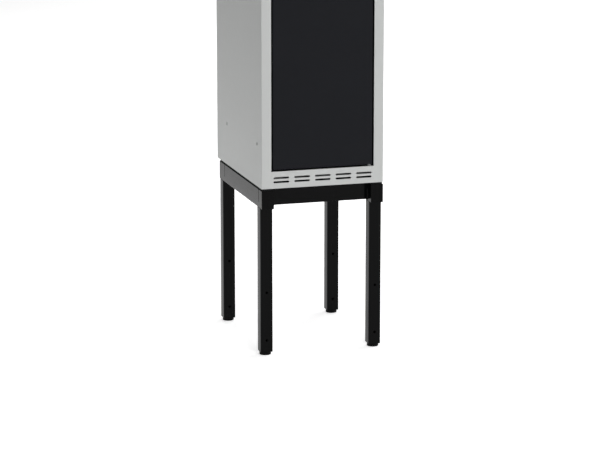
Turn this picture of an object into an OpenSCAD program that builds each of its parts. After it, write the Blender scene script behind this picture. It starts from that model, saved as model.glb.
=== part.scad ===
// Single-column steel locker on a four-legged tube stand.
// Origin: on the floor, below the middle of the cabinet. +X to the right, +Y to the back, +Z up.
// Millimetres throughout.

/* [Cabinet] */
// Width of the cabinet
body_w = 300; // [260:10:400]
// Depth of the cabinet, front face to back face
body_d = 400; // [350:10:600]
// Height of the cabinet without its stand
body_h = 1740; // [1500:10:1900]
// Thickness of the folded steel sheet
sheet_t = 1; // [0.8:0.1:1.2]
// Width of the upright frame strip on each side of the door
stile_w = 23.7; // [20:0.1:30]
// Height of the frame rails below and above the door
rail_h = 40.5; // [38:0.5:60]
// Depth of the frame's return beside the door
jamb_d = 22; // [22:0.5:30]
// Height of the floor panel above the cabinet's bottom edge
floor_z = 20; // [19:0.5:21]

/* [Door] */
// Gap between the door and the frame on the lock side
gap_lock = 3.5; // [3:0.1:5]
// Gap between the door and the frame on the hinge side
gap_hinge = 4; // [3.5:0.1:5]
// Gap between the door and the frame at the bottom and the top
gap_end = 4; // [3.5:0.1:6]
// Thickness of the door pan
door_t = 19; // [18:0.5:20]
// Outside bend radius of the door's edges
door_r = 1.5; // [1:0.1:2]
// Distance of the hinge axis from the edge of the door opening
pivot_in = 9.3; // [9.2:0.1:10]
// Distance of the hinge axis behind the front face
pivot_back = 7; // [6:0.1:7]

/* [Lock] */
// Distance of the lock's centre from the door's free edge
lock_in = 35; // [32:1:45]
// Reach of the cam from the lock's centre to its tip
cam_reach = 48; // [46:1:52]

/* [Vents] */
// Number of slots in a row
slot_count = 5; // [3:1:5]
// Length of one slot
slot_l = 38.2; // [20:0.2:40]
// Height of one slot
slot_h = 4.6; // [3:0.1:5]
// Distance from one slot to the next along a row
slot_pitch = 51; // [42:1:51]
// Height of the row nearest the cabinet's edge
slot_row = 15.3; // [14:0.1:16]
// Distance between the two rows
slot_row_pitch = 9.7; // [9:0.1:10]

/* [Inside] */
// Distance of the hat shelf below the cabinet's top
shelf_drop = 320; // [250:10:400]
// Radius of the coat rail
coat_rail_r = 7.5; // [6:0.5:9]

/* [Stand] */
// Height of the stand, leg ends to cabinet bottom
stand_h = 400; // [300:10:450]
// Depth of the stand, front to back
stand_d = 380; // [330:10:400]
// Width of the side rails and of the square legs
tube_w = 30; // [30:1:35]
// Wall of all the stand's tubes and channels
tube_t = 2; // [1.5:0.1:2.5]
// Height of the side rails
side_rail_h = 45; // [44:1:50]
// Height of the cross rails
cross_rail_h = 41; // [38:1:43]
// Thickness of the rubber strips between the stand and the cabinet
strip_t = 4; // [3:0.5:5]
// Distance of the front legs behind the stand's front
leg_set_front = 12; // [6:1:14]
// Distance of the back legs from the stand's back
leg_set_back = 3; // [3:1:14]
// Distance the feet stick out below the legs
foot_out = 8; // [7:0.5:15]

/* [Hidden] */
$fn = 48;
eps = 1;             // how far a cutting tool runs past the face it cuts

bezel_t = 3;         // how far the lock's bezel stands in front of the door
half_w = body_w / 2;
front = -(body_d - bezel_t) / 2;
back = front + body_d;
z0 = stand_h + foot_out;
z1 = z0 + body_h;
wall_x = half_w - sheet_t;       // inner face of a side wall
open_x = half_w - stile_w;       // edge of the door opening
skin_back = back - 2 * sheet_t;  // inner face of the back panel

// bends and lips of the sheet metal
corner_r = 1.6;
lip_w = 13.7;
back_flange_w = 15;
rail_flange_d = 18;
rail_lip_h = 9;
roof_flange_h = 10;
fold_gap = 1;        // clearance between neighbouring folded flanges
mat_t = 2;
mat_in = 4;

// bolt holes through the side walls, for joining cabinets
side_hole_r = 4;
side_hole_front = 40;
side_hole_pitch = 268;
side_hole_z = 102;

// door
door_x0 = -open_x + gap_lock;
door_x1 = open_x - gap_hinge;
door_z0 = z0 + rail_h + gap_end;
door_z1 = z1 - rail_h - gap_end;
door_lip_w = 10;
stiff_w = 60;
stiff_d = 14;
stiff_flange_w = 15;
stiff_end = 15;
pad_size = [8, 2.8, 20];
pad_end = 100;
pad_in = 1;
stop_size = [25, 2, 30];
stop_in = 1;
seal_t = 0.5;
seal_back = 1.2;     // distance of the sealing tape behind the front face
seal_end = 1.5;      // bare strip between the tape and the back of its flange
seal_hole_r = 4.8;

// hinge pivots
pivot_x = open_x - pivot_in;
pivot_y = front + pivot_back;
pin_r = 3;
pin_run = 0.05;      // radial running clearance of a turning fit
bush_r = 3.7;
bush_flange_r = 4;
bush_flange_t = 3;
pin_up = 9;
cone_r = 4.4;
cone_tip_r = 3.4;
pin_head_r = 5;
pin_head_t = 2;
cone_clear = 0.4;    // air between the collar and the door

// lock
lock_x = door_x0 + lock_in;
lock_z = z0 + body_h / 2;
barrel_r = 9.5;
bezel_r = 12;
plug_r = 6;
barrel_l = 20;
bezel_taper = 1;
plug_sink = 0.3;     // how far the plug lies behind the bezel's face
key_slot = [1.6, 6, 7.5];
boss_r = 4;
lock_nut_r = 14.4;
lock_nut_t = 5;
screw_r = 2;
screw_head = [5.5, 2.5];
screw_y = front + 16;
thread_y = front + 15;
cam_y = front + jamb_d + 2.5;
cam_t = 2.5;
cam_hub_r = 9;
cam_w = 16;
strike_size = [13.2, 2, 60];
strike_in = 1;

// hat shelf, coat rail and hooks
shelf_z = z1 - shelf_drop;
shelf_front = front + jamb_d + 4;
shelf_lip = 15;
runner_w = 14;
runner_h = 20;
runner_in = 6;
shelf_gap = 0.4;
coat_z = shelf_z - 48;
coat_y = (front + back) / 2;
cup_r = 14;
cup_t = 8;
cup_floor = 2;
hook_x = 45;
hook_w = 4;

// stand
rail_top_z = z0 - strip_t;
rail_bottom_z = rail_top_z - side_rail_h;
stand_back = front + stand_d;
rail_in_x = half_w - tube_w;
rail_r = 2;
cap_t = 2;
cap_plug_l = 2.5;
plug_gap = 0.1;
slit_w = 2.4;
slit_h = 31;
slit_front = 27;
slit_back = 332;
cross_flange = 30;
tab_recess = 0.8;
tab_gap = 1;
leg_x = half_w - tube_w / 2;
leg_front_y = front + leg_set_front + tube_w / 2;
leg_back_y = stand_back - leg_set_back - tube_w / 2;
leg_r = 3;
leg_hole_r = 3;
leg_hole_z = [29, 146];
spigot_up = 36;
spigot_down = 45;
bolt_r = 3;
bolt_hole_r = 3.3;
leg_bolt_drop = 24;
insert_h = 22;
stud_r = 5;
stud_l = 44;
foot_r = 14;
foot_chamfer = 1.2;
foot_gap = 0.1;
seat_bolt_y = [front + 75, front + 305];
hex_r = 5.8;         // corner radius of an M6 nut or bolt head
nut_t = 5;
head_t = 4;
bolt_tail = 3;       // thread showing below a nut
bolt_head = [5.5, 2.5];
strip_inset = 2;

body_grey = "#c3c5c3";
door_black = "#24252a";
stand_black = "#1a1a1c";
zinc = "#b9bcc0";
rubber = "#18181a";

// A box between two corners.
module block(low, high) {
    translate(low) cube(high - low);
}

// A square outline with round corners, centred.
module round_square(size, r) {
    square([size[0] - 2 * r, size[1]], center = true);
    square([size[0], size[1] - 2 * r], center = true);
    for (sx = [-1, 1], sy = [-1, 1])
        translate([sx * (size[0] / 2 - r), sy * (size[1] / 2 - r)]) circle(r);
}

// A cylinder along +X, +Y or +Z that starts at a point.
module rod_x(p, r, l) { translate(p) rotate([0, 90, 0]) cylinder(r = r, h = l); }
module rod_y(p, r, l) { translate(p) rotate([-90, 0, 0]) cylinder(r = r, h = l); }
module rod_z(p, r, l) { translate(p) cylinder(r = r, h = l); }

// A hexagonal prism along +Z.
module hex_z(p, r, l) { translate(p) cylinder(r = r, h = l, $fn = 6); }

// The whole cabinet's outline with its bent corners, as a tall block.
module body_outline() {
    translate([0, (front + back) / 2, z0])
        linear_extrude(body_h) round_square([body_w, body_d], corner_r);
}

// The left wall with its stile, jamb, locking lip and back flange, folded from one sheet.
module side_sheet() {
    difference() {
        intersection() {
            body_outline();
            union() {
                block([-half_w, front, z0], [-wall_x, back, z1]);
                block([-half_w, front, z0], [-open_x, front + sheet_t, z1]);
                block([-open_x - sheet_t, front, z0 + floor_z + sheet_t],
                      [-open_x, front + jamb_d, z1 - sheet_t]);
                block([-open_x - lip_w, front + jamb_d - sheet_t, z0 + floor_z + sheet_t],
                      [-open_x, front + jamb_d, z1 - sheet_t]);
                block([-half_w, back - sheet_t, z0], [-half_w + back_flange_w, back, z1]);
            }
        }
        for (y = [0, side_hole_pitch], z = [z0 + side_hole_z, z1 - side_hole_z])
            rod_x([-half_w - eps, front + side_hole_front + y, z], side_hole_r, sheet_t + 2 * eps);
    }
}

module side_left() { color(body_grey) side_sheet(); }

module side_right() { color(body_grey) mirror([1, 0, 0]) side_sheet(); }

module back_panel() {
    color(body_grey) block([-wall_x, skin_back, z0], [wall_x, skin_back + sheet_t, z1]);
}

// The roof, with short flanges turned down on all four sides.
module roof_pan() {
    flange_z = z1 - roof_flange_h;
    color(body_grey) {
        block([-wall_x, front + sheet_t, z1 - sheet_t], [wall_x, skin_back, z1]);
        block([-open_x + fold_gap, front + sheet_t, flange_z],
              [open_x - fold_gap, front + 2 * sheet_t, z1]);
        block([-wall_x, skin_back - sheet_t, flange_z], [wall_x, skin_back, z1]);
        for (x = [-wall_x, wall_x - sheet_t])
            block([x, front + jamb_d + fold_gap, flange_z], [x + sheet_t, skin_back, z1]);
    }
}

// The floor: a shallow closed tray whose underside is bolted to the stand.
module floor_pan() {
    top = z0 + floor_z;
    color(body_grey) difference() {
        union() {
            block([-wall_x, front + sheet_t, top], [wall_x, skin_back, top + sheet_t]);
            block([-wall_x, skin_back - sheet_t, z0], [wall_x, skin_back, top]);
            block([-wall_x, front + rail_flange_d + fold_gap, z0], [wall_x, skin_back, z0 + sheet_t]);
            for (x = [-wall_x, wall_x - sheet_t])
                block([x, front + sheet_t, z0], [x + sheet_t, skin_back, top]);
        }
        for (x = [-leg_x, leg_x], y = seat_bolt_y)
            rod_z([x, y, z0 - eps], bolt_hole_r, floor_z + sheet_t + 2 * eps);
    }
}

// The black damping mat glued to the inside of the floor tray, round its bolts.
module damping_mat() {
    low = z0 + sheet_t;
    edge = wall_x - sheet_t - mat_in;
    color(rubber) difference() {
        block([-edge, front + rail_flange_d + fold_gap, low],
              [edge, skin_back - sheet_t - mat_in, low + mat_t]);
        for (x = [-leg_x, leg_x], y = seat_bolt_y)
            rod_z([x, y, z0], 2 * bolt_hole_r, sheet_t + mat_t + eps);
    }
}

// One row of slots through the front rail, centred on a height.
module slot_row_cut(z) {
    run = slot_l - slot_h;
    for (i = [0 : slot_count - 1]) {
        x = (i - (slot_count - 1) / 2) * slot_pitch;
        block([x - run / 2, front - eps, z - slot_h / 2], [x + run / 2, front + 2 * eps, z + slot_h / 2]);
        for (s = [-1, 1]) rod_y([x + s * run / 2, front - eps, z], slot_h / 2, 3 * eps);
    }
}

// The lower front rail. The upper one is the same piece turned upside down.
module vented_rail() {
    top = z0 + rail_h;
    difference() {
        union() {
            block([-open_x, front, z0], [open_x, front + sheet_t, top]);
            block([-open_x, front, top - sheet_t], [open_x, front + rail_flange_d, top]);
            block([-open_x, front + rail_flange_d - sheet_t, top - rail_lip_h],
                  [open_x, front + rail_flange_d, top]);
            block([-open_x, front, z0], [open_x, front + rail_flange_d, z0 + sheet_t]);
        }
        slot_row_cut(z0 + slot_row);
        slot_row_cut(z0 + slot_row + slot_row_pitch);
        rod_z([pivot_x, pivot_y, top - sheet_t - eps], pin_r + pin_run, sheet_t + 2 * eps);
    }
}

module rail_bottom() { color(body_grey) vented_rail(); }

module rail_top() {
    color(body_grey) difference() {
        translate([0, 0, z0 + z1]) mirror([0, 0, 1]) vented_rail();
        block([-half_w, front + sheet_t, z1 - sheet_t], [half_w, back, z1 + eps]);
        block([-half_w, front + sheet_t, z1 - roof_flange_h], [half_w, front + 2 * sheet_t, z1 + eps]);
    }
}

// The hat shelf, with stiffening lips along its front and back edges.
module hat_shelf() {
    lip_x = wall_x - runner_w - fold_gap;
    color(body_grey) {
        block([-wall_x + shelf_gap, shelf_front, shelf_z],
              [wall_x - shelf_gap, skin_back - shelf_gap, shelf_z + sheet_t]);
        for (y = [shelf_front, skin_back - shelf_gap - sheet_t])
            block([-lip_x, y, shelf_z - shelf_lip], [lip_x, y + sheet_t, shelf_z + sheet_t]);
    }
}

// The two angle runners that carry the shelf.
module shelf_runners() {
    color(body_grey) for (m = [0, 1]) mirror([m, 0, 0]) {
        block([-wall_x, shelf_front + runner_in, shelf_z - runner_h],
              [-wall_x + sheet_t, skin_back - runner_in, shelf_z]);
        block([-wall_x, shelf_front + runner_in, shelf_z - sheet_t],
              [-wall_x + runner_w, skin_back - runner_in, shelf_z]);
    }
}

module coat_rail() {
    color(zinc) rod_x([-wall_x + cup_floor, coat_y, coat_z], coat_rail_r, 2 * (wall_x - cup_floor));
}

// The cups on the side walls that hold the coat rail's ends.
module coat_rail_cups() {
    color(zinc) for (m = [0, 1]) mirror([m, 0, 0]) difference() {
        rod_x([-wall_x, coat_y, coat_z], cup_r, cup_t);
        rod_x([-wall_x + cup_floor, coat_y, coat_z], coat_rail_r + plug_gap, cup_t);
    }
}

// A coat hook: a ring on the rail with a J below it, cut from plate.
module hook(x) {
    ring_r = coat_rail_r + 0.4;
    rim = 4;
    arm = 7;
    bend_r = 9;
    stem = 34;
    color(zinc) translate([x - hook_w / 2, coat_y, coat_z]) rotate([90, 0, 90])
        linear_extrude(hook_w) difference() {
            union() {
                circle(ring_r + rim);
                translate([bend_r, -stem]) square([arm, stem]);
                translate([0, -stem]) difference() {
                    circle(bend_r + arm);
                    circle(bend_r);
                    translate([-2 * bend_r, 0]) square(4 * bend_r);
                }
                translate([-bend_r - arm / 2, -stem]) circle(arm / 2);
            }
            circle(ring_r);
        }
}

module hook_left() { hook(-hook_x); }

module hook_right() { hook(hook_x); }

// The door: a shallow pan with four bent edges and a lip all round its back.
module door_pan() {
    mid = [(door_x0 + door_x1) / 2, front + door_t, (door_z0 + door_z1) / 2];
    w = door_x1 - door_x0;
    h = door_z1 - door_z0;
    color(door_black) difference() {
        intersection() {
            block([door_x0, front, door_z0], [door_x1, front + door_t, door_z1]);
            translate([mid[0], mid[1], door_z0])
                linear_extrude(h) round_square([w, 2 * door_t], door_r);
            translate([door_x0, mid[1], mid[2]]) rotate([90, 0, 90])
                linear_extrude(w) round_square([2 * door_t, h], door_r);
        }
        block([door_x0 + sheet_t, front + sheet_t, door_z0 + sheet_t],
              [door_x1 - sheet_t, front + door_t - sheet_t, door_z1 - sheet_t]);
        block([door_x0 + door_lip_w, front + sheet_t, door_z0 + door_lip_w],
              [door_x1 - door_lip_w, front + door_t + eps, door_z1 - door_lip_w]);
        rod_y([lock_x, front - eps, lock_z], barrel_r + plug_gap, sheet_t + 2 * eps);
        rod_z([pivot_x, pivot_y, door_z0 - eps], bush_r + pin_run, sheet_t + 2 * eps);
        rod_z([pivot_x, pivot_y, door_z1 - sheet_t - eps], bush_r + pin_run, sheet_t + 2 * eps);
    }
}

// A hat-section stiffener up the middle of the door.
module door_stiffener() {
    y = front + sheet_t;
    z = [door_z0 + stiff_end, door_z1 - stiff_end];
    half = stiff_w / 2;
    color(door_black) {
        block([-half, y + stiff_d - sheet_t, z[0]], [half, y + stiff_d, z[1]]);
        for (m = [0, 1]) mirror([m, 0, 0]) {
            block([-half, y, z[0]], [-half + sheet_t, y + stiff_d, z[1]]);
            block([-half - stiff_flange_w, y, z[0]], [-half + sheet_t, y + sheet_t, z[1]]);
        }
    }
}

// The rubber pads on the door that meet the stops.
module door_buffers() {
    y = front + door_t;
    color(rubber) for (z = [door_z0 + pad_end, door_z1 - pad_end])
        block([door_x0 + pad_in, y, z - pad_size[2] / 2],
              [door_x0 + pad_in + pad_size[0], y + pad_size[1], z + pad_size[2] / 2]);
}

// The stop plates on the frame's lip, behind the door's pads.
module door_stops() {
    y = front + jamb_d;
    x = -open_x - lip_w + stop_in;
    color(body_grey) for (z = [door_z0 + pad_end, door_z1 - pad_end])
        block([x, y, z - stop_size[2] / 2], [x + stop_size[0], y + stop_size[1], z + stop_size[2] / 2]);
}

// The black sealing tape round the door opening, with holes for the hinge collars.
module door_seal() {
    x = open_x - seal_t;
    y = [front + seal_back, front + jamb_d - seal_end];
    rail_y = front + rail_flange_d - seal_end;
    z = [z0 + rail_h, z1 - rail_h];
    color(rubber) difference() {
        union() {
            for (m = [0, 1]) mirror([m, 0, 0]) block([x, y[0], z[0]], [open_x, y[1], z[1]]);
            block([-x, y[0], z[0]], [x, rail_y, z[0] + seal_t]);
            block([-x, y[0], z[1] - seal_t], [x, rail_y, z[1]]);
        }
        rod_z([pivot_x, pivot_y, z0], seal_hole_r, body_h);
    }
}

// The bushes in the door's bottom and top edges.
module door_bush() {
    difference() {
        union() {
            rod_z([pivot_x, pivot_y, door_z0], bush_r, sheet_t + bush_flange_t);
            rod_z([pivot_x, pivot_y, door_z0 + sheet_t], bush_flange_r, bush_flange_t);
        }
        rod_z([pivot_x, pivot_y, door_z0 - eps], pin_r + pin_run, sheet_t + bush_flange_t + 2 * eps);
    }
}

module door_bushes() {
    color(zinc) {
        door_bush();
        translate([0, 0, z0 + z1]) mirror([0, 0, 1]) door_bush();
    }
}

// A hinge pivot: a riveted pin with a tapered collar that the door turns above.
module pivot() {
    top = z0 + rail_h;
    color(body_grey) {
        rod_z([pivot_x, pivot_y, top - sheet_t - pin_head_t], pin_head_r, pin_head_t);
        rod_z([pivot_x, pivot_y, top - sheet_t - pin_head_t], pin_r, pin_head_t + sheet_t + pin_up);
        translate([pivot_x, pivot_y, top]) cylinder(r1 = cone_r, r2 = cone_tip_r, h = gap_end - cone_clear);
    }
}

module pivot_bottom() { pivot(); }

module pivot_top() { translate([0, 0, z0 + z1]) mirror([0, 0, 1]) pivot(); }

// The lock's fixed cylinder, with its bezel in front of the door.
module lock_body() {
    color(zinc) difference() {
        union() {
            rod_y([lock_x, front, lock_z], barrel_r, barrel_l);
            translate([lock_x, front, lock_z]) rotate([90, 0, 0])
                cylinder(r1 = bezel_r, r2 = bezel_r - bezel_taper, h = bezel_t);
        }
        rod_y([lock_x, front - bezel_t - eps, lock_z], plug_r + pin_run, barrel_l + bezel_t + 2 * eps);
    }
}

// The turning plug, with a keyway in front and a boss for the cam behind.
module lock_plug() {
    face = front - bezel_t + plug_sink;
    color(zinc) difference() {
        union() {
            rod_y([lock_x, face, lock_z], plug_r, cam_y - face);
            rod_y([lock_x, face, lock_z], boss_r, cam_y + cam_t - face);
        }
        block([lock_x - key_slot[0] / 2, face - eps, lock_z - key_slot[2] / 2],
              [lock_x + key_slot[0] / 2, face + key_slot[1], lock_z + key_slot[2] / 2]);
        rod_y([lock_x, thread_y, lock_z], screw_r + pin_run, 2 * barrel_l);
    }
}

module lock_nut() {
    color(zinc) difference() {
        translate([lock_x, front + sheet_t, lock_z]) rotate([-90, 0, 0])
            cylinder(r = lock_nut_r, h = lock_nut_t, $fn = 6);
        rod_y([lock_x, front, lock_z], barrel_r + plug_gap, lock_nut_t + 2 * eps);
    }
}

// The cam, hanging down when unlocked.
module lock_cam() {
    tip = cam_reach - cam_w / 2;
    color(zinc) translate([lock_x, cam_y + cam_t, lock_z]) rotate([90, 0, 0])
        linear_extrude(cam_t) difference() {
            union() {
                circle(cam_hub_r);
                translate([-cam_w / 2, -tip]) square([cam_w, tip]);
                translate([0, -tip]) circle(cam_w / 2);
            }
            circle(boss_r + pin_run);
        }
}

module cam_screw() {
    color(zinc) {
        rod_y([lock_x, screw_y, lock_z], screw_r, cam_y + cam_t - screw_y);
        rod_y([lock_x, cam_y + cam_t, lock_z], screw_head[0], screw_head[1]);
    }
}

// The plate behind the frame's lip that the cam turns behind.
module strike_plate() {
    low = [-open_x - strike_in - strike_size[0], front + jamb_d, lock_z - strike_size[2] / 2];
    color(zinc) block(low, low + strike_size);
}

// Rubber strips between the cabinet and the stand.
module seat_strips() {
    color(rubber) difference() {
        union() {
            for (m = [0, 1]) mirror([m, 0, 0])
                block([-half_w + strip_inset, front + strip_inset, rail_top_z],
                      [-rail_in_x - strip_inset, stand_back - strip_inset, z0]);
            for (y = [front + slit_front + strip_inset, front + slit_back + strip_inset - cross_flange])
                block([-rail_in_x, y, rail_top_z],
                      [rail_in_x, y + cross_flange - 2 * strip_inset, z0]);
        }
        for (x = [-leg_x, leg_x], y = seat_bolt_y)
            rod_z([x, y, rail_top_z - eps], bolt_hole_r, strip_t + 2 * eps);
    }
}

// The bolts that hold the cabinet to the stand, and their nuts inside the side rails.
module seat_bolts() {
    top = z0 + floor_z + sheet_t;
    end = rail_top_z - tube_t - nut_t - bolt_tail;
    color(zinc) for (x = [-leg_x, leg_x], y = seat_bolt_y) {
        rod_z([x, y, end], bolt_r, top - end);
        hex_z([x, y, top], hex_r, head_t);
    }
}

module seat_nuts() {
    bottom = rail_top_z - tube_t - nut_t;
    color(zinc) for (x = [-leg_x, leg_x], y = seat_bolt_y) difference() {
        hex_z([x, y, bottom], hex_r, nut_t);
        rod_z([x, y, bottom - eps], bolt_r + pin_run, nut_t + 2 * eps);
    }
}

// A slit down from the side rail's top that takes a cross rail's tab.
module rail_slit(y) {
    block([-half_w - eps, front + y - slit_w / 2, rail_top_z - slit_h],
          [-rail_in_x + eps, front + y + slit_w / 2, rail_top_z + eps]);
}

// The left side rail: a rectangular tube from the front cap to the back cap.
module side_rail() {
    mid = [-leg_x, (rail_top_z + rail_bottom_z) / 2];
    inner = [tube_w - 2 * tube_t, side_rail_h - 2 * tube_t];
    color(stand_black) difference() {
        translate([mid[0], stand_back - cap_t, mid[1]]) rotate([90, 0, 0])
            linear_extrude(stand_d - 2 * cap_t) difference() {
                round_square([tube_w, side_rail_h], rail_r);
                square(inner, center = true);
            }
        for (y = [slit_front, slit_back]) rail_slit(y);
        for (y = seat_bolt_y) rod_z([-leg_x, y, rail_top_z - tube_t - eps], bolt_hole_r, tube_t + 2 * eps);
        for (y = [leg_front_y, leg_back_y]) spigot([-leg_x, y], plug_gap);
    }
}

module stand_rail_left() { side_rail(); }

module stand_rail_right() { mirror([1, 0, 0]) side_rail(); }

// A cross rail: a channel whose web carries a tab at each end. dir is +1 when it opens backwards.
module cross_rail(y, dir) {
    z = rail_top_z - cross_rail_h;
    tab_x = half_w - tab_recess;
    near = dir > 0 ? -tube_t / 2 : tube_t / 2 - cross_flange;
    color(stand_black) translate([0, front + y, 0]) {
        block([-rail_in_x, -tube_t / 2, z], [rail_in_x, tube_t / 2, rail_top_z]);
        block([-tab_x, -tube_t / 2, rail_top_z - slit_h + tab_gap], [tab_x, tube_t / 2, rail_top_z]);
        for (fz = [z, rail_top_z - tube_t])
            block([-rail_in_x, near, fz], [rail_in_x, near + cross_flange, fz + tube_t]);
    }
}

module cross_rail_front() { cross_rail(slit_front, 1); }

module cross_rail_back() { cross_rail(slit_back, -1); }

// A plug that closes one end of a side rail.
module rail_cap(x, y, dir) {
    inner = [tube_w - 2 * tube_t - 2 * plug_gap, side_rail_h - 2 * tube_t - 2 * plug_gap];
    translate([x, y, (rail_top_z + rail_bottom_z) / 2]) rotate([-90 * dir, 0, 0]) {
        linear_extrude(cap_t) round_square([tube_w, side_rail_h], rail_r);
        linear_extrude(cap_t + cap_plug_l) square(inner, center = true);
    }
}

module rail_caps() {
    color(stand_black) for (x = [-leg_x, leg_x]) {
        rail_cap(x, front, 1);
        rail_cap(x, stand_back, -1);
    }
}

// The block that joins a leg to its side rail; grow widens it to cut its seat.
module spigot(p, grow) {
    w = tube_w - 2 * tube_t - 2 * plug_gap + 2 * grow;
    translate([p[0] - w / 2, p[1] - w / 2, rail_bottom_z - spigot_down])
        cube([w, w, spigot_down + spigot_up]);
}

module leg_spigots() {
    color(zinc) difference() {
        for (x = [-leg_x, leg_x], y = [leg_front_y, leg_back_y]) spigot([x, y], 0);
        for (m = [0, 1]) mirror([m, 0, 0]) rail_slit(slit_front);
        for (x = [-leg_x, leg_x], y = [leg_front_y, leg_back_y])
            rod_y([x, y, rail_bottom_z - leg_bolt_drop], bolt_r + pin_run, tube_w);
    }
}

// One square leg with two threaded holes in its front face and a bolt hole in its back face.
module leg(x, y) {
    color(stand_black) difference() {
        translate([x, y, foot_out]) linear_extrude(rail_bottom_z - foot_out) difference() {
            round_square([tube_w, tube_w], leg_r);
            square(tube_w - 2 * tube_t, center = true);
        }
        for (z = leg_hole_z) rod_y([x, y - tube_w / 2 - eps, foot_out + z], leg_hole_r, tube_t + 2 * eps);
        rod_y([x, y, rail_bottom_z - leg_bolt_drop], bolt_hole_r, tube_w);
    }
}

module leg_front_left() { leg(-leg_x, leg_front_y); }

module leg_front_right() { leg(leg_x, leg_front_y); }

module leg_back_left() { leg(-leg_x, leg_back_y); }

module leg_back_right() { leg(leg_x, leg_back_y); }

// The flat-head bolts on the legs' back faces.
module leg_bolts() {
    z = rail_bottom_z - leg_bolt_drop;
    color(stand_black) for (x = [-leg_x, leg_x], y = [leg_front_y, leg_back_y]) {
        rod_y([x, y, z], bolt_r, tube_w / 2);
        rod_y([x, y + tube_w / 2, z], bolt_head[0], bolt_head[1]);
    }
}

// The threaded inserts pressed into the legs' lower ends.
module foot_inserts() {
    w = tube_w - 2 * tube_t - 2 * plug_gap;
    color(rubber) for (x = [-leg_x, leg_x], y = [leg_front_y, leg_back_y]) difference() {
        translate([x - w / 2, y - w / 2, foot_out]) cube([w, w, insert_h]);
        rod_z([x, y, foot_out - eps], stud_r + pin_run, insert_h + 2 * eps);
    }
}

// An adjustable foot: a round glide on a stud.
module foot(x, y) {
    color(rubber) translate([x, y, 0]) {
        cylinder(r1 = foot_r - foot_chamfer, r2 = foot_r, h = foot_chamfer);
        translate([0, 0, foot_chamfer])
            cylinder(r = foot_r, h = foot_out - foot_chamfer - foot_gap);
        cylinder(r = stud_r, h = stud_l);
    }
}

module foot_front_left() { foot(-leg_x, leg_front_y); }

module foot_front_right() { foot(leg_x, leg_front_y); }

module foot_back_left() { foot(-leg_x, leg_back_y); }

module foot_back_right() { foot(leg_x, leg_back_y); }

side_left();
side_right();
back_panel();
roof_pan();
floor_pan();
damping_mat();
rail_bottom();
rail_top();
hat_shelf();
shelf_runners();
coat_rail();
coat_rail_cups();
hook_left();
hook_right();
door_pan();
door_stiffener();
door_buffers();
door_bushes();
door_stops();
door_seal();
pivot_bottom();
pivot_top();
lock_body();
lock_plug();
lock_nut();
lock_cam();
cam_screw();
strike_plate();
seat_strips();
seat_bolts();
seat_nuts();
stand_rail_left();
stand_rail_right();
cross_rail_front();
cross_rail_back();
rail_caps();
leg_front_left();
leg_front_right();
leg_back_left();
leg_back_right();
leg_spigots();
leg_bolts();
foot_inserts();
foot_front_left();
foot_front_right();
foot_back_left();
foot_back_right();
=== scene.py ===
"""Looks, light and camera for the locker cabinet on its tube stand, in metres, in the model's frame."""

import math

import bmesh
import bpy
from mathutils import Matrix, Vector


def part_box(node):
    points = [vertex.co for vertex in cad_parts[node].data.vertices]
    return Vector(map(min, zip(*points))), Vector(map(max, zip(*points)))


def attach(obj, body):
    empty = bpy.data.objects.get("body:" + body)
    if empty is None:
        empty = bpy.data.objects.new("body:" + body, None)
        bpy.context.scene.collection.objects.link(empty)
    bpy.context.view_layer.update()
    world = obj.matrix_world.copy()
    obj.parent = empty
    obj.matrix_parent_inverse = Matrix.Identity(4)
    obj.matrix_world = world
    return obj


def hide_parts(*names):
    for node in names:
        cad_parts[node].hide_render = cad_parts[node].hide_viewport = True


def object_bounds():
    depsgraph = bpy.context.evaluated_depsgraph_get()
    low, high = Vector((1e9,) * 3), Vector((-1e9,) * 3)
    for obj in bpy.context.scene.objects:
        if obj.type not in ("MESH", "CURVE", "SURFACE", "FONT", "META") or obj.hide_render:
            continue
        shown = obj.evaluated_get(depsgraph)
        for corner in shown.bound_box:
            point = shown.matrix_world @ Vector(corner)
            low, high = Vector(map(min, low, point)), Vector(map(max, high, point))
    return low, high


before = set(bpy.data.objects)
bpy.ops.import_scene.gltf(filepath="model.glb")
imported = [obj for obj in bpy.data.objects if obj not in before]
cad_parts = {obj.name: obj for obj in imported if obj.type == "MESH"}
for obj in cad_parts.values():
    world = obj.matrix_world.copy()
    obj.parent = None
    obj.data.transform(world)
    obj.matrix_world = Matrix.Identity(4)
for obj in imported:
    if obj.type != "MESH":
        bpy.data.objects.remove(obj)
CAD_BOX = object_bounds()

MM = 0.001

# Camera
VIEW_YAW = math.radians(16.75)      # turned to the right from +Y
VIEW_PITCH = math.radians(12.82)    # looking down
VIEW_DISTANCE = 6.69
VIEW_LENS = 164.4
VIEW_SENSOR = 36.0
VIEW_AIM_RIGHT = 3.5 * MM           # of the model's middle
VIEW_AIM_HEIGHT = 269.3 * MM
VIEW_REACH = 100.0

# Colours, linear
GREY_COAT = (0.555, 0.566, 0.558)
DOOR_COAT = (0.0090, 0.0096, 0.0122)
STAND_COAT = (0.0016, 0.0017, 0.0018)
ZINC_LIGHT = (0.62, 0.63, 0.64)
ZINC_DARK = (0.43, 0.44, 0.46)
NICKEL = (0.70, 0.68, 0.64)
CAST = (0.52, 0.53, 0.54)
RUBBER = (0.010, 0.010, 0.011)
PLASTIC = (0.0026, 0.0026, 0.0028)
FLOOR_WHITE = (0.90, 0.90, 0.90)

# Studio
WHITE = (1.0, 1.0, 1.0, 1.0)
FLOOR_GLOW = 0.65           # the paper is lit from below, like a light table
FLOOR_HALF = 30.0
FLOOR_DROP = 0.2 * MM       # keeps the paper just below the feet
BACKDROP_GLOW = 0.70        # what the camera sees past the floor
SURROUND_GLOW = 0.0         # what the object is lit by and mirrors from there

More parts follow.
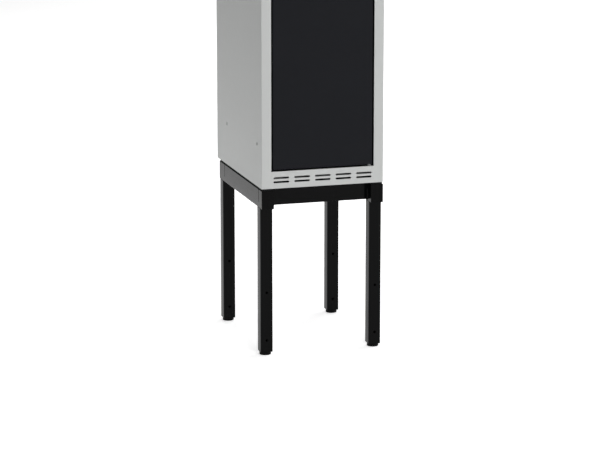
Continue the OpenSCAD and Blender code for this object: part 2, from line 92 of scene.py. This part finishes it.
# Spot-weld marks down the side walls' back flanges
MARK_RADIUS = 3.0 * MM
MARK_PITCH = 120.0 * MM
MARK_DEPTH = 0.25 * MM
MARK_BOTTOM = 0.6           # share of the radius that is flat
MARK_INSET = 7.0 * MM       # from the wall's outer face
MARK_SKIN = 0.5 * MM        # only what is this near the flange's outer face is marked

# Weld beads in the corners between the cross rails and the side rails
BEAD_LEG = 3.0 * MM
BEAD_SINK = 0.3 * MM
BEAD_STEP = 0.5 * MM
BEAD_RIPPLE = 2.2 * MM
BEAD_RIPPLE_LOSS = 0.08     # share of the leg that is lost between two ripples
BEAD_CRESCENT = 0.3         # share of a ripple by which its middle runs ahead
BEAD_TAPER = 2.5 * MM
BEAD_END = 0.35             # share of the leg that is left at an end
BEAD_ARC = 8
BEAD_ROUNDNESS = 0.5        # from a flat fillet, 0, to a quarter circle, 1
WEB_BEAD = (2.0 * MM, 28.0 * MM)        # up from the cross rail's bottom
FLANGE_BEAD = (3.0 * MM, 4.0 * MM)      # in from the flange's two edges

# Adjustable feet
STUD_RADIUS = 5.0 * MM
THREAD_PITCH = 1.5 * MM
THREAD_DEPTH = 0.8 * MM
THREAD_STEEPNESS = 3.2      # how fast a flank rises, in depths to one pitch
THREAD_ROWS = 8             # rows of points to one turn of the thread
THREAD_FADE = 2.0 * MM      # length over which the thread runs out at each end
STUD_TIP = 1.6 * MM         # how much thinner the stud's end is than its thread
FOOT_GAP = 0.1 * MM         # between the glide's top and the leg
GLIDE_EDGE = 1.2 * MM
GLIDE_TOP_EDGE = 0.6 * MM
FOOT_SEGMENTS = 48

# Shading and rounding of edges
SHARP_ANGLE = math.radians(35.0)
FLAT_ANGLE = math.radians(0.5)
WELD_REACH = 0.002 * MM
EDGE_SEGMENTS = 2

# How much the edges of a CAD node are rounded
SHEET_EDGE = 0.35 * MM
TUBE_EDGE = 0.4 * MM
PLATE_EDGE = 0.5 * MM
EDGE_WIDTHS = {
    **dict.fromkeys(("side_left", "side_right", "back_panel", "roof_pan", "rail_bottom", "rail_top",
                     "hat_shelf", "shelf_runners", "door_pan", "door_stiffener"), SHEET_EDGE),
    **dict.fromkeys(("stand_rail_left", "stand_rail_right", "cross_rail_front", "cross_rail_back",
                     "leg_front_left", "leg_front_right", "leg_back_left", "leg_back_right",
                     "rail_caps"), TUBE_EDGE),
    **dict.fromkeys(("door_stops", "strike_plate", "hook_left", "hook_right", "lock_cam",
                     "lock_nut", "seat_strips", "door_buffers"), PLATE_EDGE),
}


class Graph:
    """A material's node tree with short ways to add and join nodes."""

    def __init__(self, name):
        self.material = bpy.data.materials.new(name)
        self.material.use_nodes = True
        self.tree = self.material.node_tree
        self.shader = self.tree.nodes["Principled BSDF"]
        coordinates = self.tree.nodes.new("ShaderNodeTexCoord")
        self.place = coordinates.outputs["Object"]

    def node(self, kind, **settings):
        made = self.tree.nodes.new(kind)
        for key, value in settings.items():
            setattr(made, key, value)
        return made

    def join(self, source, target):
        self.tree.links.new(source, target)

    def put(self, socket, value):
        if isinstance(value, bpy.types.NodeSocket):
            self.join(value, socket)
        else:
            socket.default_value = value

    def stretched(self, scale):
        """The object coordinates, scaled by a different amount along each axis."""
        mapping = self.node("ShaderNodeMapping")
        self.join(self.place, mapping.inputs["Vector"])
        mapping.inputs["Scale"].default_value = scale
        return mapping.outputs["Vector"]

    def noise(self, scale, detail=2.0, roughness=0.5, where=None):
        made = self.node("ShaderNodeTexNoise")
        self.join(where or self.place, made.inputs["Vector"])
        made.inputs["Scale"].default_value = scale
        made.inputs["Detail"].default_value = detail
        made.inputs["Roughness"].default_value = roughness
        return made.outputs["Fac"]

    def cells(self, scale):
        """How far it is to the nearest of many scattered points."""
        made = self.node("ShaderNodeTexVoronoi")
        self.join(self.place, made.inputs["Vector"])
        made.inputs["Scale"].default_value = scale
        return made.outputs["Distance"]

    def spread(self, value, low, high, start=0.3, end=0.7):
        """value, from start to end, as a number from low to high."""
        made = self.node("ShaderNodeMapRange")
        self.join(value, made.inputs["Value"])
        made.inputs["From Min"].default_value = start
        made.inputs["From Max"].default_value = end
        made.inputs["To Min"].default_value = low
        made.inputs["To Max"].default_value = high
        return made.outputs["Result"]

    def mixed(self, factor, first, second):
        """A colour from first to second, as factor goes from 0 to 1."""
        made = self.node("ShaderNodeMix", data_type="RGBA")
        self.put(made.inputs[0], factor)
        for socket, value in ((made.inputs[6], first), (made.inputs[7], second)):
            self.put(socket, value if isinstance(value, bpy.types.NodeSocket) else (*value, 1.0))
        return made.outputs[2]

    def reckon(self, operation, first, second):
        """The result of an arithmetic operation on two values."""
        made = self.node("ShaderNodeMath", operation=operation)
        self.put(made.inputs[0], first)
        self.put(made.inputs[1], second)
        return made.outputs[0]

    def bump(self, height, distance, below=None):
        """The normal that a height gives, on top of the normal below it."""
        made = self.node("ShaderNodeBump")
        self.join(height, made.inputs["Height"])
        made.inputs["Distance"].default_value = distance
        made.inputs["Strength"].default_value = 1.0
        if below:
            self.join(below, made.inputs["Normal"])
        return made.outputs["Normal"]

    def finish(self, color, roughness, normal, metallic=0.0, specular=0.5):
        """Sets the shader, and gives the finished material."""
        self.put(self.shader.inputs["Base Color"], color)
        self.put(self.shader.inputs["Roughness"], roughness)
        self.join(normal, self.shader.inputs["Normal"])
        self.shader.inputs["Metallic"].default_value = metallic
        self.shader.inputs["Specular IOR Level"].default_value = specular
        return self.material


def shade(color, factor):
    """A lighter or darker version of a colour."""
    return tuple(min(1.0, c * factor) for c in color)


def weld_marks(g):
    """The shallow round dents that spot welds leave in the side walls' back flanges."""
    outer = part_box("side_right")[1]
    parts = g.node("ShaderNodeSeparateXYZ")
    g.join(g.place, parts.inputs[0])
    either_side = g.reckon("ABSOLUTE", parts.outputs["X"], 0.0)
    across = g.reckon("SUBTRACT", either_side, outer.x - MARK_INSET)
    along = g.reckon("SUBTRACT", g.reckon("MODULO", parts.outputs["Z"], MARK_PITCH), MARK_PITCH / 2)
    offset = g.node("ShaderNodeCombineXYZ")
    g.join(across, offset.inputs["X"])
    g.join(along, offset.inputs["Z"])
    reach = g.node("ShaderNodeVectorMath", operation="LENGTH")
    g.join(offset.outputs[0], reach.inputs[0])
    dent = g.spread(reach.outputs["Value"], 0.0, 1.0, MARK_BOTTOM * MARK_RADIUS, MARK_RADIUS)
    elsewhere = g.reckon("LESS_THAN", parts.outputs["Y"], outer.y - MARK_SKIN)
    return g.reckon("MAXIMUM", dent, elsewhere)


def powder_coat(name, color, rough, specular, peel, swing, welded=False):
    """Baked powder paint: soft orange peel, fine grit, and a slow drift in tone and gloss."""
    g = Graph(name)
    drift = g.noise(5.0, 3.0, 0.55)
    grit = g.noise(2600.0, 2.0, 0.6)
    tone = g.mixed(g.spread(drift, 0.0, 1.0), shade(color, 1 - swing), shade(color, 1 + swing))
    tone = g.mixed(g.spread(grit, 0.0, 0.25, 0.55, 0.8), tone, shade(color, 1 + 3 * swing))
    gloss = g.reckon("ADD", g.spread(g.noise(60.0, 2.0), rough - 0.03, rough + 0.03),
                     g.spread(drift, -0.02, 0.02))
    waves = g.bump(g.noise(420.0, 1.0), peel)
    if welded:
        waves = g.bump(weld_marks(g), MARK_DEPTH, waves)
    return g.finish(tone, gloss, g.bump(grit, peel / 6, waves), 0.0, specular)


def zinc_plate(name, light, dark, rough):
    """Bright zinc plating: fine grain, cloudy patches and faint drawn lines."""
    g = Graph(name)
    cloud = g.noise(45.0, 4.0, 0.6)
    lines = g.noise(900.0, 2.0, 0.5, g.stretched((0.05, 1.0, 1.0)))
    tone = g.mixed(g.spread(cloud, 0.0, 1.0), dark, light)
    gloss = g.reckon("ADD", g.spread(cloud, rough - 0.06, rough + 0.08), g.spread(lines, -0.03, 0.03))
    return g.finish(tone, gloss, g.bump(lines, 0.008 * MM), 1.0)


def nickel_plate(name, color, rough):
    """Polished nickel with a fine grain and a few dull spots."""
    g = Graph(name)
    marks = g.noise(1500.0, 2.0, 0.5)
    spots = g.noise(120.0, 3.0, 0.6)
    tone = g.mixed(g.spread(spots, 0.0, 1.0, 0.45, 0.75), color, shade(color, 0.82))
    gloss = g.spread(spots, rough, rough + 0.12, 0.4, 0.8)
    return g.finish(tone, gloss, g.bump(marks, 0.004 * MM), 1.0)


def cast_metal(name, color, rough):
    """Die-cast metal with a pebbled skin."""
    g = Graph(name)
    pebbles = g.cells(700.0)
    cloud = g.noise(70.0, 3.0, 0.6)
    tone = g.mixed(g.spread(cloud, 0.0, 1.0), shade(color, 0.85), shade(color, 1.08))
    gloss = g.spread(cloud, rough - 0.05, rough + 0.08)
    return g.finish(tone, gloss, g.bump(pebbles, 0.03 * MM), 1.0)


def rubber(name, color):
    """Moulded rubber: matt, with a dusty bloom and a fine pitted skin."""
    g = Graph(name)
    bloom = g.noise(90.0, 4.0, 0.65)
    pits = g.cells(1600.0)
    tone = g.mixed(g.spread(bloom, 0.0, 0.6, 0.45, 0.8), color, shade(color, 2.2))
    return g.finish(tone, g.spread(bloom, 0.72, 0.85), g.bump(pits, 0.03 * MM), 0.0, 0.25)


def plastic(name, color):
    """Black nylon with the fine spark texture of its mould and upright scuffs."""
    g = Graph(name)
    grain = g.cells(2200.0)
    scuffs = g.noise(220.0, 4.0, 0.7, g.stretched((1.0, 1.0, 0.25)))
    tone = g.mixed(g.spread(scuffs, 0.0, 0.5, 0.55, 0.8), color, shade(color, 2.5))
    gloss = g.spread(scuffs, 0.26, 0.38)
    return g.finish(tone, gloss, g.bump(grain, 0.012 * MM), 0.0, 0.06)


def stage_paint(name, color):
    """The studio floor's matt white paper."""
    g = Graph(name)
    fibre = g.noise(9.0, 3.0)
    tone = g.mixed(g.spread(fibre, 0.0, 1.0), shade(color, 0.995), shade(color, 1.005))
    g.shader.inputs["Emission Color"].default_value = WHITE
    g.shader.inputs["Emission Strength"].default_value = FLOOR_GLOW
    return g.finish(tone, 0.95, g.bump(fibre, 0.05 * MM), 0.0, 0.0)


FINISHES = {
    "body_paint": powder_coat("body_coat", GREY_COAT, 0.42, 0.12, 0.025 * MM, 0.010, welded=True),
    "door_paint": powder_coat("door_coat", DOOR_COAT, 0.36, 0.08, 0.025 * MM, 0.05),
    "stand_paint": powder_coat("stand_coat", STAND_COAT, 0.16, 0.075, 0.018 * MM, 0.08),
    "black_plastic": plastic("foot_plastic", PLASTIC),
    "rubber_black": rubber("strip_rubber", RUBBER),
    "zinc_steel": zinc_plate("zinc", ZINC_LIGHT, ZINC_DARK, 0.30),
    "lock_nickel": nickel_plate("nickel", NICKEL, 0.16),
    "cast_aluminium": cast_metal("cast_aluminium_skin", CAST, 0.38),
}


def dress_nodes():
    """Gives each CAD node the finish of its material slot."""
    for name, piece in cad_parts.items():
        slot = piece.material_slots[0].material.name.split(".")[0]
        piece.material_slots[0].material = FINISHES[slot]


def shading_group():
    """Geometry nodes that forget stored normals and shade smooth except across sharp edges."""
    group = bpy.data.node_groups.new("shade_by_angle", "GeometryNodeTree")
    group.interface.new_socket("Geometry", in_out="INPUT", socket_type="NodeSocketGeometry")
    group.interface.new_socket("Geometry", in_out="OUTPUT", socket_type="NodeSocketGeometry")
    start, end = group.nodes.new("NodeGroupInput"), group.nodes.new("NodeGroupOutput")
    forget = group.nodes.new("GeometryNodeRemoveAttribute")
    forget.inputs["Name"].default_value = "custom_normal"
    smooth = group.nodes.new("GeometryNodeSetShadeSmooth")
    crease = group.nodes.new("GeometryNodeSetShadeSmooth")
    crease.domain = "EDGE"
    crease.inputs["Shade Smooth"].default_value = False
    angle = group.nodes.new("GeometryNodeInputMeshEdgeAngle")
    sharp = group.nodes.new("FunctionNodeCompare")
    sharp.operation = "GREATER_THAN"
    sharp.inputs["B"].default_value = SHARP_ANGLE
    join = group.links.new
    join(start.outputs[0], forget.inputs["Geometry"])
    join(forget.outputs["Geometry"], smooth.inputs["Geometry"])
    join(smooth.outputs["Geometry"], crease.inputs["Geometry"])
    join(angle.outputs["Unsigned Angle"], sharp.inputs["A"])
    join(sharp.outputs["Result"], crease.inputs["Selection"])
    join(crease.outputs["Geometry"], end.inputs[0])
    return group


SHADE_BY_ANGLE = shading_group()


def shade_by_angle(piece):
    """Shades a piece smooth except across its sharp edges."""
    shading = piece.modifiers.new("shade_by_angle", "NODES")
    shading.node_group = SHADE_BY_ANGLE


def soften_edges(piece, width):
    """Rounds a node's cut and folded edges a little, so that they catch the light."""
    weld = piece.modifiers.new("weld", "WELD")
    weld.merge_threshold = WELD_REACH
    flat = piece.modifiers.new("flat_faces", "DECIMATE")
    flat.decimate_type = "DISSOLVE"
    flat.angle_limit = FLAT_ANGLE
    shade_by_angle(piece)
    bevel = piece.modifiers.new("soft_edge", "BEVEL")
    bevel.width = width
    bevel.segments = EDGE_SEGMENTS
    bevel.limit_method = "ANGLE"
    bevel.angle_limit = SHARP_ANGLE
    bevel.use_clamp_overlap = True
    bevel.harden_normals = True


def soften_nodes():
    for name, width in EDGE_WIDTHS.items():
        soften_edges(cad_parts[name], width)


def bead_swell(run, length):
    """How full a bead is at a place along it: rounded off over the taper at each end."""
    edge = min(1.0, min(run, length - run) / BEAD_TAPER)
    return BEAD_END + (1.0 - BEAD_END) * math.sqrt(edge * (2.0 - edge))


def bead_radius(run, turn):
    """The distance of a bead's skin from its corner, as a share of its leg."""
    crescent = run + BEAD_CRESCENT * BEAD_RIPPLE * math.cos(2.0 * turn - math.pi / 2)
    ripple = 1.0 - BEAD_RIPPLE_LOSS * (1.0 - abs(math.sin(math.pi * crescent / BEAD_RIPPLE)))
    flat = 1.0 / (math.cos(turn) + math.sin(turn))
    return ripple * (BEAD_ROUNDNESS + (1.0 - BEAD_ROUNDNESS) * flat)


def bridge(mesh, rings):
    """Joins rings of points into one closed skin."""
    for first, second in zip(rings, rings[1:]):
        count = len(first)
        for j in range(count):
            k = (j + 1) % count
            mesh.faces.new((first[j], first[k], second[k], second[j]))
    mesh.faces.new(rings[0][::-1])
    mesh.faces.new(rings[-1])


def add_piece(mesh, name, body, slot):
    """Makes a piece from a bmesh, with its slot's finish, and lets it ride on a body."""
    data = bpy.data.meshes.new(name)
    mesh.to_mesh(data)
    mesh.free()
    data.materials.append(FINISHES[slot])
    piece = bpy.data.objects.new(name, data)
    bpy.context.scene.collection.objects.link(piece)
    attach(piece, body)
    return piece


def lay_bead(mesh, start, end, side_a, side_b):
    """A rippled fillet weld from start to end, in the corner that opens towards side_a and side_b."""
    start, end, side_a, side_b = Vector(start), Vector(end), Vector(side_a), Vector(side_b)
    length = (end - start).length
    along = (end - start) / length
    steps = round(length / BEAD_STEP)
    rings = []
    for i in range(steps + 1):
        run = length * i / steps
        corner = start + along * run
        leg = BEAD_LEG * bead_swell(run, length)
        ring = [mesh.verts.new(corner - BEAD_SINK * (side_a + side_b))]
        for j in range(BEAD_ARC + 1):
            turn = math.pi / 2 * j / BEAD_ARC
            outward = math.cos(turn) * side_a + math.sin(turn) * side_b
            spot = corner + leg * bead_radius(run, turn) * outward
            if j == 0:
                spot -= BEAD_SINK * side_b
            if j == BEAD_ARC:
                spot -= BEAD_SINK * side_a
            ring.append(mesh.verts.new(spot))
        rings.append(ring)
    bridge(mesh, rings)


def add_weld_beads():
    """Fillet welds between the cross rails and the side rails, beside the webs and under the flanges."""
    mesh = bmesh.new()
    inner_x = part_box("stand_rail_right")[0].x
    for rail, outward in (("cross_rail_front", -1.0), ("cross_rail_back", 1.0)):
        low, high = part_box(rail)
        face_y, edge_y = (low.y, high.y) if outward < 0 else (high.y, low.y)
        under = [face_y - outward * FLANGE_BEAD[0], edge_y + outward * FLANGE_BEAD[1]]
        for side in (-1.0, 1.0):
            x = side * inner_x
            inward = (-side, 0.0, 0.0)
            ends = [(x, face_y, low.z + rise) for rise in WEB_BEAD]
            lay_bead(mesh, *ends, inward, (0.0, outward, 0.0))
            ends = [(x, y, low.z) for y in under]
            lay_bead(mesh, *ends, inward, (0.0, 0.0, -1.0))
    bmesh.ops.recalc_face_normals(mesh, faces=mesh.faces)
    for face in mesh.faces:
        face.smooth = True
    add_piece(mesh, "weld_beads", "cabinet", "stand_paint")


def thread_radius(height, turn, low, high):
    """The stud's radius at a height and an angle, with the thread run out near low and high."""
    phase = (height / THREAD_PITCH - turn / (2.0 * math.pi)) % 1.0
    crest = min(1.0, max(0.0, THREAD_STEEPNESS * (0.5 - abs(phase - 0.5))))
    fade = max(0.0, min(1.0, (height - low) / THREAD_FADE, (high - height) / THREAD_FADE))
    return STUD_RADIUS - THREAD_DEPTH * (1.0 - crest * fade)


def corner_arc(radius, height, edge, first, last, steps=4):
    """Points (radius, height) round the middle of an edge arc, from one angle to another in degrees."""
    angles = [math.radians(first + (last - first) * i / steps) for i in range(steps + 1)]
    return [(radius + edge * math.cos(a), height + edge * math.sin(a)) for a in angles]


def add_foot(node, leg):
    """One foot: a turned glide with soft edges on a threaded stud, in place of its CAD node."""
    low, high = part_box(node)
    middle = (low + high) / 2
    reach = (high.x - low.x) / 2
    glide_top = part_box(leg)[0].z - FOOT_GAP
    tip = high.z - THREAD_DEPTH
    profile = corner_arc(reach - GLIDE_EDGE, low.z + GLIDE_EDGE, GLIDE_EDGE, -90.0, 0.0)
    profile += corner_arc(reach - GLIDE_TOP_EDGE, glide_top - GLIDE_TOP_EDGE, GLIDE_TOP_EDGE, 0.0, 90.0)
    mesh = bmesh.new()
    turns = [2.0 * math.pi * i / FOOT_SEGMENTS for i in range(FOOT_SEGMENTS)]

    def ring(radius_at, height):
        spots = [(radius_at(turn) * math.cos(turn), radius_at(turn) * math.sin(turn)) for turn in turns]
        return [mesh.verts.new((middle.x + x, middle.y + y, height)) for x, y in spots]

    rings = [ring(lambda turn, r=radius: r, height) for radius, height in profile]
    rows = round((tip - glide_top) / THREAD_PITCH * THREAD_ROWS)
    for i in range(rows + 1):
        height = glide_top + (tip - glide_top) * i / rows
        rings.append(ring(lambda turn, z=height: thread_radius(z, turn, glide_top, tip), height))
    rings.append(ring(lambda turn: STUD_RADIUS - STUD_TIP, high.z))
    bridge(mesh, rings)
    for face in mesh.faces:
        face.smooth = len(face.verts) == 4
    foot = add_piece(mesh, node + "_turned", node + "_body", "black_plastic")
    shade_by_angle(foot)
    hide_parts(node)


def add_feet():
    for end in ("front", "back"):
        for side in ("left", "right"):
            add_foot(f"foot_{end}_{side}", f"leg_{end}_{side}")


def add_floor():
    """A sheet of white paper that reaches far past the object."""
    mesh = bpy.data.meshes.new("studio_floor")
    signs = ((-1, -1), (1, -1), (1, 1), (-1, 1))
    corners = [(x * FLOOR_HALF, y * FLOOR_HALF, -FLOOR_DROP) for x, y in signs]
    mesh.from_pydata(corners, [], [(0, 1, 2, 3)])
    mesh.materials.append(stage_paint("studio_paper", FLOOR_WHITE))
    floor = bpy.data.objects.new("studio_floor", mesh)
    bpy.context.scene.collection.objects.link(floor)


def softbox(name, place, target, size, power):
    """A rectangular area light that faces a point."""
    light = bpy.data.lights.new(name, "AREA")
    light.shape = "RECTANGLE"
    light.size, light.size_y = size
    light.energy = power
    lamp = bpy.data.objects.new(name, light)
    bpy.context.scene.collection.objects.link(lamp)
    lamp.location = place
    lamp.rotation_euler = (Vector(target) - Vector(place)).to_track_quat("-Z", "Y").to_euler()
    lamp.visible_camera = False


def add_lights():
    """A long strip overhead, soft boxes at the front, right and back, and a low one at the left."""
    softbox("light_strip", (-0.05, -0.5, 4.2), (-0.05, -0.5, 0.0), (0.4, 6.0), 70.0)
    softbox("light_front", (1.8, -4.6, 2.2), (0.0, 0.0, 0.7), (2.4, 2.4), 91.0)
    softbox("light_back", (3.0, 3.0, 3.0), (1.5, 5.0, 0.0), (4.0, 2.0), 118.0)
    softbox("light_right", (2.5, 0.6, 1.6), (0.0, 0.0, 0.3), (1.5, 1.5), 24.0)
    softbox("light_low_left", (-0.75, 0.0, 0.05), (-0.15, 0.0, 0.45), (1.2, 0.3), 1.3)


def add_world():
    """A surround that lights nothing, with a pale backdrop where the camera sees it."""
    world = bpy.data.worlds.new("studio")
    bpy.context.scene.world = world
    world.use_nodes = True
    nodes, links = world.node_tree.nodes, world.node_tree.links
    surround = nodes["Background"]
    surround.inputs["Color"].default_value = WHITE
    surround.inputs["Strength"].default_value = SURROUND_GLOW
    seen = nodes.new("ShaderNodeBackground")
    seen.inputs["Color"].default_value = WHITE
    seen.inputs["Strength"].default_value = BACKDROP_GLOW
    path = nodes.new("ShaderNodeLightPath")
    mix = nodes.new("ShaderNodeMixShader")
    links.new(path.outputs["Is Camera Ray"], mix.inputs[0])
    links.new(surround.outputs[0], mix.inputs[1])
    links.new(seen.outputs[0], mix.inputs[2])
    links.new(mix.outputs[0], nodes["World Output"].inputs["Surface"])


def add_camera():
    """A long lens at the front left, a little above, that looks at the stand and the cabinet's lower end."""
    data = bpy.data.cameras.new("camera")
    data.lens = VIEW_LENS
    data.sensor_width = VIEW_SENSOR
    data.clip_end = VIEW_REACH
    camera = bpy.data.objects.new("camera", data)
    bpy.context.scene.collection.objects.link(camera)
    lowest, highest = CAD_BOX
    middle = (Vector(lowest) + Vector(highest)) / 2
    aim = Vector((middle.x + VIEW_AIM_RIGHT, middle.y, VIEW_AIM_HEIGHT))
    level = math.cos(VIEW_PITCH)
    forward = Vector((math.sin(VIEW_YAW) * level, math.cos(VIEW_YAW) * level, -math.sin(VIEW_PITCH)))
    camera.location = aim - VIEW_DISTANCE * forward
    camera.rotation_euler = (math.pi / 2 - VIEW_PITCH, 0.0, -VIEW_YAW)
    bpy.context.scene.camera = camera


dress_nodes()
soften_nodes()
add_weld_beads()
add_feet()
add_floor()
add_lights()
add_world()
add_camera()
bpy.context.scene.view_settings.view_transform = "Standard"
